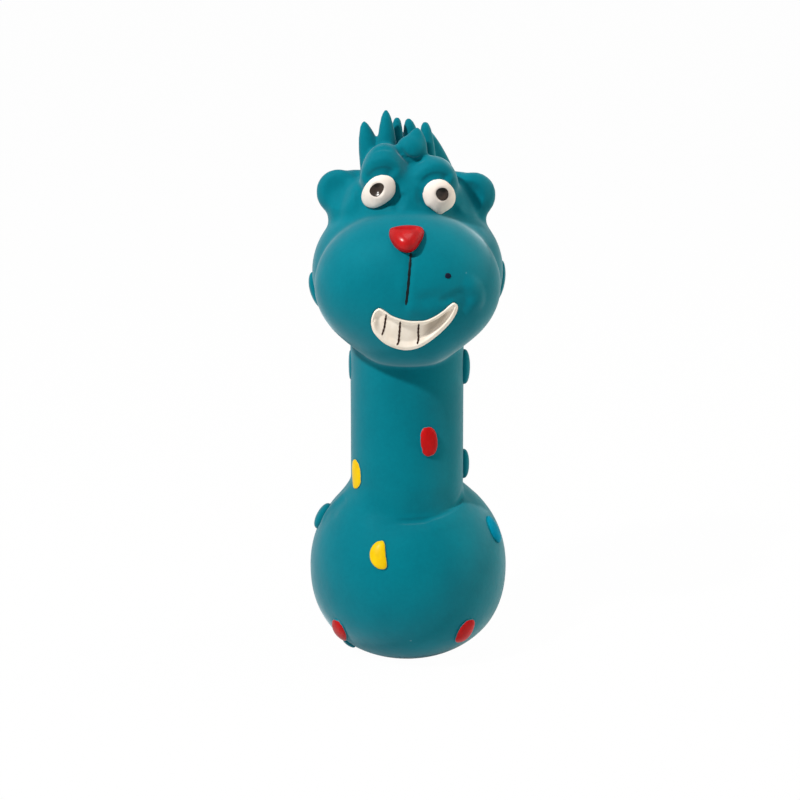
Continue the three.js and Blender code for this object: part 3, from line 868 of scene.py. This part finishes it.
headStrokes = [  # as the folds of the crease
    (3.8, -1.4, 0.2, [(363, 184), (369, 175.5), (378, 170.5), (388, 170.5), (396, 177)]),
    (3.8, -1.4, 0.2, [(420.5, 187), (426, 179), (435, 174.5), (444, 175), (452, 182.5)]),
    (2.8, -1, 0.2, [(399, 192), (398.5, 202), (392, 208.5)]),
    (1.1, -0.3, 0.2, [(374, 150.5), (383, 148.5), (392, 149.5)]),
    (4.2, -0.42, 0.3, [(414, 303), (428, 302), (442, 299.5), (452, 295)]),
    (3.8, 0.7, 0.35, [(462, 281), (473, 287), (477.5, 298), (473, 313)]),
    (1.3, -0.9, 0.2, [(397, 147), (402, 153.5), (409, 159), (417, 160), (425, 158)]),
    (3.2, 0.4, 0.2, [(404, 311), (420, 309), (436, 306), (449, 302)]),
    (1.5, -0.35, 0.05, [(411.5, 252), (410, 268), (407.5, 292), (405.8, 306)]),
    (1.4, -0.5, 0.2, [(413, 252), (414, 257)]),
]
carveForm = {
    "front": (-8, -5),  # the carving fades out behind the face
    "turned": (-0.3, 0.15),
    "socketDepth": 0.9,
    "socketReach": 9,
    "offMuzzle": (1.05, 1.3),
    "lidBand": 6,
    "lidFront": -2,
    "lidSmoothing": 8,
    "smileDepth": 0.62,
    "smileReach": 4.5,
    "mouthDepth": 2.6,
    "mouthEdge": (0.8, 2.4),
}


def insideOutline(places, outline):
    inside = np.zeros(len(places), bool)
    for (x0, y0), (x1, y1) in zip(outline, np.roll(outline, -1, axis=0)):
        crosses = (y0 > places[:, 1]) != (y1 > places[:, 1])
        with np.errstate(divide="ignore", invalid="ignore"):
            hit = places[:, 0] < (x1 - x0) * (places[:, 1] - y0) / (y1 - y0) + x0
        inside ^= crosses & hit
    return inside


def gapInside(places, outline):
    gap = nearestOnPath(places, outline)[0]
    return np.where(insideOutline(places, outline), gap, -gap)  # below nothing outside


def mouthOutline(count):
    top = finerPath(faceMarks["mouthTop"], count)
    low = finerPath(faceMarks["mouthLow"], count)
    return top, low, np.vstack([top, low[::-1][1:-1]])


def carveFace():
    form = carveForm
    points = pointsOf(headSkin)
    normals = normalsOf(headSkin)
    places = picturePlaces(points)
    faces = 1 - ease(*(edge * mm for edge in form["front"]), points[:, 1])
    faces *= 1 - ease(*form["turned"], normals[:, 1])
    offMuzzle = ease(*form["offMuzzle"], outOfLobe(points, "muzzle"))
    aroundEyes = np.zeros(len(points), bool)
    for mark in ("eyeLeft", "eyeRight"):  # sockets
        gap = gapInside(places, finerPath(faceMarks[mark], 80, True))
        dent = (1 - ease(0, form["socketReach"], -gap)) * faces * offMuzzle
        points -= normals * (dent * form["socketDepth"] * mm)[:, None]
        aroundEyes |= (gap > -form["lidBand"]) & (points[:, 1] < form["lidFront"] * mm)
    gap = gapInside(places, finerPath(faceMarks["smile"], 60, True))
    crease = ease(-form["smileReach"], form["smileReach"], gap) * faces
    points -= normals * (crease * form["smileDepth"] * mm)[:, None]
    gap = gapInside(places, mouthOutline(160)[2])
    pocket = ease(*form["mouthEdge"], gap) * faces
    points -= normals * (pocket * form["mouthDepth"] * mm)[:, None]
    setPoints(headSkin, points)
    smoothPoints(headSkin, aroundEyes, form["lidSmoothing"])


def dishEars():
    points = pointsOf(headSkin)
    for ear in (earForm["left"], earForm["right"]):
        local = (points - np.array(onHead(ear["at"]))) / mm
        turn = ear["turn"]
        across = local[:, 0] * math.cos(turn) + local[:, 1] * math.sin(turn)
        deep = -local[:, 0] * math.sin(turn) + local[:, 1] * math.cos(turn)
        gap = np.hypot(across - ear["dish"][0], local[:, 2] - ear["dish"][1]) / ear["dishRadius"]
        push = np.clip(1 - gap**2, 0, 1) ** earForm["dishPower"] * (1 - ease(*earForm["dishFront"], deep))
        push *= ear["dishDepth"]
        points[:, 0] -= push * math.sin(turn) * mm
        points[:, 1] += push * math.cos(turn) * mm
    setPoints(headSkin, points)


def closeHead():
    form = headForm
    cut = bodyForm["cuts"][2] * mm
    editAll(headSkin)
    bpy.ops.mesh.bisect(plane_co=(0, 0, cut), plane_no=(0, 0, 1), use_fill=True, clear_inner=True)
    bpy.ops.object.mode_set(mode="OBJECT")
    points = pointsOf(headSkin)
    flat = np.hypot(points[:, 0], points[:, 1])
    hold = 1 - ease(*(cut + edge * mm for edge in form["holdBand"]), points[:, 2])
    hold[flat < form["holdFrom"] * mm] = 0
    scale = 1 + hold * (bodyForm["neckRadius"] * mm / np.maximum(flat, 1e-6) - 1)
    points[:, :2] *= scale[:, None]
    setPoints(headSkin, points)
    hollow = []
    for name, wall in form["airWall"].items():
        at, half = form["lobes"][name]
        hollow.append(addEgg("air", onHead(at), [size - wall for size in half], segments=48, rings=32))
    hollow.append(addStem(bodyForm["neckRadius"] - bodyForm["wall"], form["airBelow"]))
    air = joinPieces(hollow, "headAir")
    applyModifier(air, "REMESH", mode="VOXEL", voxel_size=form["airVoxel"] * mm)
    applyModifier(headSkin, "BOOLEAN", operation="DIFFERENCE", object=air, solver="EXACT")
    dropPiece(air)


dishEars()
carveFace()
strokeSkin(headSkin, softHead, headStrokes)
smoothPoints(headSkin, np.ones(len(headSkin.data.vertices), bool), headForm["smoothing"]["last"])
closeHead()
print("face carved, points:", len(headSkin.data.vertices))


# Raised patches on a skin: a ball laid flat over an outline of the picture
def smoothBed(offsets, hits, degree):
    scaled = offsets / np.abs(offsets).max()
    powers = [(i, j) for i in range(degree + 1) for j in range(degree + 1 - i)]
    grid = np.column_stack([scaled[:, 0] ** i * scaled[:, 1] ** j for i, j in powers])
    return grid @ np.linalg.lstsq(grid, hits, rcond=None)[0]


def meetAll(tree, places, towardCamera):
    hits = [meetSkin(tree, *place) for place in places]
    facing = Vector(np.array([hit[1] for hit in hits]).mean(axis=0)).normalized()
    facing = (facing * (1 - towardCamera) - viewAxes()[1] * towardCamera).normalized()
    return np.array([hit[0] for hit in hits]), np.array(facing)


def domeLift(rise, proud, sunk, fullness):
    return np.where(rise > 0, proud * np.clip(rise, 0, 1) ** fullness, sunk * rise)


def layPatch(name, mark, tree, proud, sunk, fullness, towardCamera=0.4, segments=72, rings=40,
             tip=0, degree=3):
    outline = finerPath(faceMarks[mark], 120, True)[:-1]
    middle = outline.mean(axis=0)
    patch = addBall(name, segments, rings)
    points = pointsOf(patch)
    rim = outline - middle
    turns = np.arctan2(points[:, 1], points[:, 0])
    reach = np.interp(turns, np.arctan2(-rim[:, 1], rim[:, 0]), np.hypot(rim[:, 0], rim[:, 1]),
                      period=2 * math.pi)
    reach *= np.hypot(points[:, 0], points[:, 1])
    offsets = np.column_stack([reach * np.cos(turns), -reach * np.sin(turns)])
    hits, facing = meetAll(tree, middle + offsets, towardCamera)
    rise = points[:, 2]
    droop = 1 + tip * offsets[:, 1] / np.abs(offsets[:, 1]).max()
    lift = domeLift(rise, proud * droop, sunk, fullness)
    setPoints(patch, smoothBed(offsets, hits, degree) + lift[:, None] * mm * facing)
    setLayer(patch, "rise", np.clip(rise, 0, 1))
    return patch, facing


eyeForm = {
    "white": {"proud": 1.7, "sunk": 2.6, "fullness": 0.7},
    "pupil": {"proud": 0.14, "sunk": 0.5, "fullness": 0.35, "segments": 48, "rings": 24, "degree": 5},
    "bedDepth": 1.5,  # the pupil lies in a shallow bed
    "bedReach": 1.25,
    "bedFront": 0.2,
}


def makeEye(side):
    white, facing = layPatch("eyeWhite" + side, "eye" + side, softHead, **eyeForm["white"])
    outline = finerPath(faceMarks["pupil" + side], 60, True)[:-1]
    middle = outline.mean(axis=0)
    radius = np.linalg.norm(outline - middle, axis=1).mean() * eyeForm["bedReach"]
    points = pointsOf(white)
    gap = np.linalg.norm(picturePlaces(points) - middle, axis=1) / radius
    front = normalsOf(white) @ facing > eyeForm["bedFront"]
    push = np.clip(1 - gap**2, 0, 1) ** 2 * front * eyeForm["bedDepth"] * mm
    setPoints(white, points - push[:, None] * facing)
    pupil, _ = layPatch("pupil" + side, "pupil" + side, treeOf(white), **eyeForm["pupil"])
    return white, pupil


for side in ("Left", "Right"):
    white, pupil = makeEye(side)
    settlePiece(white, "white", "head", "eye_white_" + side.lower())
    settlePiece(pupil, "pupil", "head", "pupil_" + side.lower())

noseForm = {"proud": 4.2, "sunk": 2, "fullness": 0.85, "towardCamera": 0.9, "tip": 0.14}
nose, _ = layPatch("nose", "nose", softHead, **noseForm)
settlePiece(nose, "nose", "head", "nose")

moleForm = {"proud": 0.3, "sunk": 0.4, "fullness": 0.6, "towardCamera": 0.2, "segments": 28, "rings": 14}
mole, _ = layPatch("mole", "mole", softHead, **moleForm)
settlePiece(mole, "mole", "head", "mole")
print("eyes, nose and mole laid")

# Mouth: a shallow cream tray with a raised lip, deeper at its right end, where its cream is darkened by a
# painted shade
mouthForm = {
    "columns": 150,
    "rows": 56,
    "crowding": (0.45, 0.6),  # columns and rows crowd at the rim
    "samples": 400,
    "towardCamera": 0.4,
    "nearer": 0.94,  # the mouth is nearer to the camera than its aim
    "lip": 0.24,
    "topLip": 0.7,
    "lowLip": 1.3,
    "topWall": (0.5, 1.7),
    "lowWall": (0.9, 2.6),
    "rimDrop": 0.06,
    "rimReach": 0.25,
    "depth": 0.8,
    "deepEnd": 0.9,
    "deepFrom": (420, 432),
    "thickness": 0.5,
    "tuck": 0.04,
}


def crowdEnds(shares, crowding):
    return (1 - crowding) * shares + crowding * (0.5 - 0.5 * np.cos(math.pi * shares))


def makeMouth():
    form = mouthForm
    columns, rows = form["columns"], form["rows"]
    bpy.ops.mesh.primitive_grid_add(x_subdivisions=columns - 1, y_subdivisions=rows - 1, size=2)
    tray = named("mouthTray")
    points = pointsOf(tray)
    along = crowdEnds((points[:, 0] + 1) / 2, form["crowding"][0])
    across = crowdEnds((1 - points[:, 1]) / 2, form["crowding"][1])
    top, low, _ = mouthOutline(form["samples"])
    marks = np.linspace(0, 1, form["samples"])
    topAt = alongPath(top, marks, along)
    places = topAt + (alongPath(low, marks, along) - topAt) * across[:, None]
    hits, facing = meetAll(softHead, places, form["towardCamera"])
    bed = smoothBed(places - places.mean(axis=0), hits, 5)
    pixel = photoView["distance"] / focal / mm * form["nearer"]
    topGap = nearestOnPath(places, top)[0] * pixel
    lowGap = nearestOnPath(places, low)[0] * pixel
    edge = np.minimum(topGap, lowGap)
    share = np.where(lowGap < topGap, lowGap / form["lowLip"], topGap / form["topLip"])
    lip = form["lip"] * np.sin(math.pi * np.clip(share, 0, 1))
    depth = form["depth"] + form["deepEnd"] * ease(*form["deepFrom"], places[:, 0])
    sink = depth * ease(*form["topWall"], topGap) * ease(*form["lowWall"], lowGap)
    lift = lip - sink - form["rimDrop"] * (1 - ease(0, form["rimReach"], edge))
    setPoints(tray, bed + lift[:, None] * mm * facing)
    # the depth layer also drives the cream's painted shade
    setLayer(tray, "depth", np.clip(sink / (form["depth"] + form["deepEnd"]), 0, 1))
    tidyNormals(tray)
    if np.array([polygon.normal[:] for polygon in tray.data.polygons])[:, 1].mean() > 0:
        tidyNormals(tray, True)
    front = treeOf(tray)
    face = pointsOf(tray)
    applyModifier(tray, "SOLIDIFY", thickness=form["thickness"] * mm, offset=-1, use_rim=True)
    inward = (face.mean(axis=0) - face) * form["tuck"]
    setPoints(tray, np.vstack([face, face + inward - facing * form["thickness"] * mm]))
    return tray, front


mouth, mouthFront = makeMouth()
settlePiece(mouth, "cream", "head", "teeth", degrees=60)

# Painted lines, a little uneven as from a brush
lineForm = {
    "toothWidths": {"Left": 0.55, "Middle": 0.6, "Right": 0.6},
    "toothProud": 0.14,
    "philtrumWidth": 0.8,
    "philtrumProud": 0.2,
    "steps": 40,
    "sides": 16,
    "smoothing": 4,
    "bluntness": 8,
    "wavers": ((0.16, 0.9, 0), (0.1, 2.3, 1)),  # share of the width, pace, start
}


def layLine(name, mark, tree, width, proud):
    form = lineForm
    count = form["steps"]
    hits = [meetSkin(tree, *place) for place in finerPath(faceMarks[mark], count)]
    spine = np.array([hit[0] for hit in hits])
    normals = np.array([hit[1] for hit in hits])
    for run in (spine, normals):
        for _ in range(form["smoothing"]):
            run[1:-1] = (run[:-2] + 2 * run[1:-1] + run[2:]) / 4
    normals /= np.linalg.norm(normals, axis=1, keepdims=True)
    tangent = np.gradient(spine, axis=0)
    tangent /= np.linalg.norm(tangent, axis=1, keepdims=True)
    line = addBall(name, form["sides"], count)
    points = pointsOf(line)
    share = (1 - points[:, 2]) / 2 * (count - 1)
    parts = (spine, np.cross(normals, tangent), normals)
    at, side, up = (alongPath(part, np.arange(count), share) for part in parts)
    ring = roundOf(points)
    slim = np.clip(1 - np.abs(points[:, 2]) ** form["bluntness"], 0, 1) ** 0.5
    brush = np.ones(len(points))
    for part, pace, start in form["wavers"]:
        brush += part * np.sin(share * pace + start)
    shaped = at + side * (ring[:, :1] * (width / 2 * slim * brush)[:, None]) * mm
    shaped += up * (ring[:, 1:] * (proud * slim)[:, None]) * mm
    setPoints(line, shaped)
    tidyNormals(line)
    return line


for part, width in lineForm["toothWidths"].items():
    line = layLine("toothLine" + part, "tooth" + part, mouthFront, width, lineForm["toothProud"])
    settlePiece(line, "toothLine", "head", "tooth_line_" + part.lower())
philtrum = layLine("philtrumLine", "philtrum", treeOf(headSkin), lineForm["philtrumWidth"],
                   lineForm["philtrumProud"])
settlePiece(philtrum, "line", "head", "philtrum")
print("mouth and lines laid")


# Raised beans, modelled once and copied
beanForm = {
    "segments": 40,
    "rings": 26,
    "sunk": 1.2,
    "fullness": 0.72,
    "bluntness": 2.4,
    "above": 12,  # height from which its points are dropped on the skin
    "ringFar": 60,  # where the lines that look for its place start
    "headFar": 90,
}
ringBeans = [  # name, finish, angle, height, width and length, lean, kidney bend, proud, what it moves with
    ("belly_yellow_front", "yellow", -106.5, 38.6, (5.2, 8.9), 14, -0.27, 1.3, "belly"),
    ("belly_blue_right", "blue", -16, 40.2, (6.4, 9.2), 4, -0.1, 1.3, "belly"),
    ("belly_teal_left", "latex", 178, 41.8, (6, 9), 0, 0, 2, "belly"),
    ("belly_red_low_left", "red", -141.5, 10.2, (6.2, 11.4), -30, 0.05, 1.3, "belly"),
    ("belly_red_low_right", "red", -51, 12, (6.6, 9.8), -2, -0.05, 1.3, "belly"),
    ("belly_teal_low_left", "latex", -147, 4, (4.2, 4.4), 0, 0, 0.9, "belly"),
    ("belly_blue_back", "blue", 96, 31, (5.6, 9), 4, 0.1, 1.3, "belly"),
    ("belly_red_back_left", "red", 138, 22, (5.6, 9), 10, -0.1, 1.3, "belly"),
    ("belly_yellow_back_right", "yellow", 52, 21, (5.6, 9), -12, 0.12, 1.3, "belly"),
    ("belly_yellow_back_low", "yellow", 94, 10, (5.4, 8.6), 6, -0.1, 1.3, "belly"),
    ("neck_yellow_left", "yellow", -146, 59.1, (5.8, 9.2), 12, 0.1, 0.9, "root"),
    ("neck_teal_right", "latex", -4, 59.7, (5.2, 9.4), 0, 0, 2, "root"),
    ("neck_blue_back", "blue", 96, 58.4, (5.2, 8.4), 0, 0.1, 1.3, "root"),
    ("neck_red_front", "red", -69.5, 71.4, (5.6, 9.2), 3, 0.06, 1.3, "neck"),
    ("neck_red_back", "red", 122, 71.4, (5.2, 9), 3, 0.1, 1.3, "neck"),
    ("neck_teal_upper_right", "latex", -3, 90.8, (5.4, 11), 0, 0, 2, "head"),
    ("neck_yellow_upper_back", "yellow", 86, 89.8, (5.2, 8.6), 0, 0.1, 1.3, "head"),
    ("neck_teal_upper_left", "latex", -177, 91.4, (5.4, 9), 0, 0, 0.55, "head"),
]
headBeans = [  # name, finish, direction from the head's middle, width and length, lean, kidney bend, proud
    ("cheek_left", "latex", (-1, 0.02, -0.25), (6, 12), 0, 0, 1.7),
    ("cheek_right", "latex", (1, 0.02, -0.14), (6, 13), 0, 0, 0.9),
    ("head_red_back", "red", (-0.45, 1, 0.1), (5.8, 9.4), 8, 0.1, 1.3),
    ("head_blue_back", "blue", (0.5, 1, -0.25), (5.8, 9.4), -6, -0.1, 1.3),
]


def layBean(name, tree, far, out, size, lean, bend, proud):
    form = beanForm
    pickOnly(beanStart)
    bpy.ops.object.duplicate()
    bean = named(name)
    place, normal, _, _ = tree.ray_cast(far, -out)
    outward = out if normal.dot(out) < 0 else normal
    level = Vector((0, 0, 1)).cross(outward).normalized()
    upward = outward.cross(level)
    turn = math.radians(lean)
    wide = level * math.cos(turn) + upward * math.sin(turn)
    long = upward * math.cos(turn) - level * math.sin(turn)
    points = pointsOf(bean)
    power = form["bluntness"]
    blunt = np.maximum((np.abs(roundOf(points)) ** power).sum(axis=1), 0.1) ** (-1 / power)
    x = (points[:, 0] * blunt + bend * (1 - 2 * points[:, 1] ** 2)) * size[0] / 2 * mm
    y = points[:, 1] * blunt * size[1] / 2 * mm
    spots = [place + wide * a + long * b for a, b in zip(x, y)]
    hits = [tree.ray_cast(spot + outward * (form["above"] * mm), -outward)[0] or spot for spot in spots]
    rise = points[:, 2]
    lift = domeLift(rise, proud, form["sunk"], form["fullness"])
    bed = smoothBed(np.column_stack([x, y]), np.array(hits), 4)
    setPoints(bean, bed + lift[:, None] * mm * np.array(outward))
    setLayer(bean, "rise", np.clip(rise, 0, 1))
    return bean


beanStart = addBall("beanStart", beanForm["segments"], beanForm["rings"])
wholeSkin = treeOfAll([bellySkin, rootSkin, neckSkin, headSkin])
for name, finish, angle, height, size, lean, bend, proud, body in ringBeans:
    turn = math.radians(angle)
    out = Vector((math.cos(turn), math.sin(turn), 0))
    far = out * beanForm["ringFar"] * mm + Vector((0, 0, height * mm))
    bean = layBean("bean_" + name, wholeSkin, far, out, size, lean, bend, proud)
    settlePiece(bean, finish, body, "spot_" + name)
for name, finish, toward, size, lean, bend, proud in headBeans:
    out = Vector(toward).normalized()
    far = onHead((0, 0, 0)) + out * beanForm["headFar"] * mm
    bean = layBean("bean_" + name, softHead, far, out, size, lean, bend, proud)
    settlePiece(bean, finish, "head", "spot_" + name)
dropPiece(beanStart)
print("beans laid:", len(ringBeans) + len(headBeans))

# Latex skins take their bodies last, when their shapes are final
settlePiece(bellySkin, "latex", "belly", "latex_belly")
settlePiece(rootSkin, "latex", "root", "latex_neck_root")
settlePiece(neckSkin, "latex", "neck", "latex_neck")
settlePiece(headSkin, "latex", "head", "latex_head", "latex_neck_top", degrees=65)

# Squeaker parts keep their CAD shape
for node in ("squeaker_housing", "squeaker_cap", "reed_shallot", "reed_wedge", "squeaker_reed"):
    squeakerPart = frame["nodes"][node]
    squeakerPart.data.materials.clear()
    squeakerPart.data.materials.append(finishes["reed" if node == "squeaker_reed" else "plastic"])
print("skins settled")


# Pale floor, soft light
stageForm = {
    "floorSize": 60,
    "floorShade": 0.74,
    "floorRoughness": 0.9,
    "cameraWhite": 0.985,
    "worldLight": 0.2,
}
lamps = [
    {"name": "keyLamp", "place": (-0.54, -0.5, 0.83), "aim": (0, 0, 0.09), "size": 0.08, "power": 11,
     "colour": (1, 0.985, 0.96)},
    {"name": "fillLamp", "place": (0.8, 0.25, 0.35), "aim": (0, 0, 0.08), "size": 0.6, "power": 5.2,
     "colour": (1, 0.88, 0.7), "mirrored": False},
    {"name": "topLamp", "place": (0.1, -0.15, 1.1), "aim": (0, 0, 0.08), "size": 0.7, "power": 3.2,
     "colour": (1, 1, 1)},
]


def cameraShare(web):
    path = web.nodes.new("ShaderNodeLightPath")
    seen = combine(web, path.outputs["Is Camera Ray"], path.outputs["Is Glossy Ray"], "MAXIMUM")
    return combine(web, seen, path.outputs["Is Transmission Ray"], "MAXIMUM")


def makeFloor():
    bpy.ops.mesh.primitive_plane_add(size=stageForm["floorSize"])
    floor = named("floor")
    finish, web, shader = newFinish("paleFloor")
    shade = stageForm["floorShade"]
    fillNode(web, shader, {"Base Color": (shade, shade, shade, 1), "Specular IOR Level": 0,
                           "Roughness": stageForm["floorRoughness"]})
    glow = web.nodes.new("ShaderNodeEmission")
    share = combine(web, cameraShare(web), stageForm["cameraWhite"], "MULTIPLY")
    mix = addNode(web, "MixShader", {0: share, 1: shader.outputs[0], 2: glow.outputs[0]})
    web.links.new(mix.outputs[0], web.nodes["Material Output"].inputs["Surface"])
    floor.data.materials.append(finish)


def makeWorld():
    world = bpy.data.worlds.new("studio")
    bpy.context.scene.world = world
    world.use_nodes = True
    web = world.node_tree
    light = spread(web, cameraShare(web), 0, 1, stageForm["worldLight"], 1)
    fillNode(web, web.nodes["Background"], {"Color": (1, 1, 1, 1), "Strength": light})


def addLamp(name, place, aim, size, power, colour, mirrored=True):
    bpy.ops.object.light_add(type="AREA", location=place)
    lamp = named(name)
    lamp.data.shape = "DISK"
    lamp.data.size = size
    lamp.data.energy = power
    lamp.data.color = colour
    lamp.rotation_euler = (Vector(aim) - Vector(place)).to_track_quat("-Z", "Y").to_euler()
    lamp.visible_glossy = mirrored


makeFloor()
makeWorld()
for lamp in lamps:
    addLamp(**lamp)
bpy.context.scene.view_settings.view_transform = "Standard"
print("stage lit")
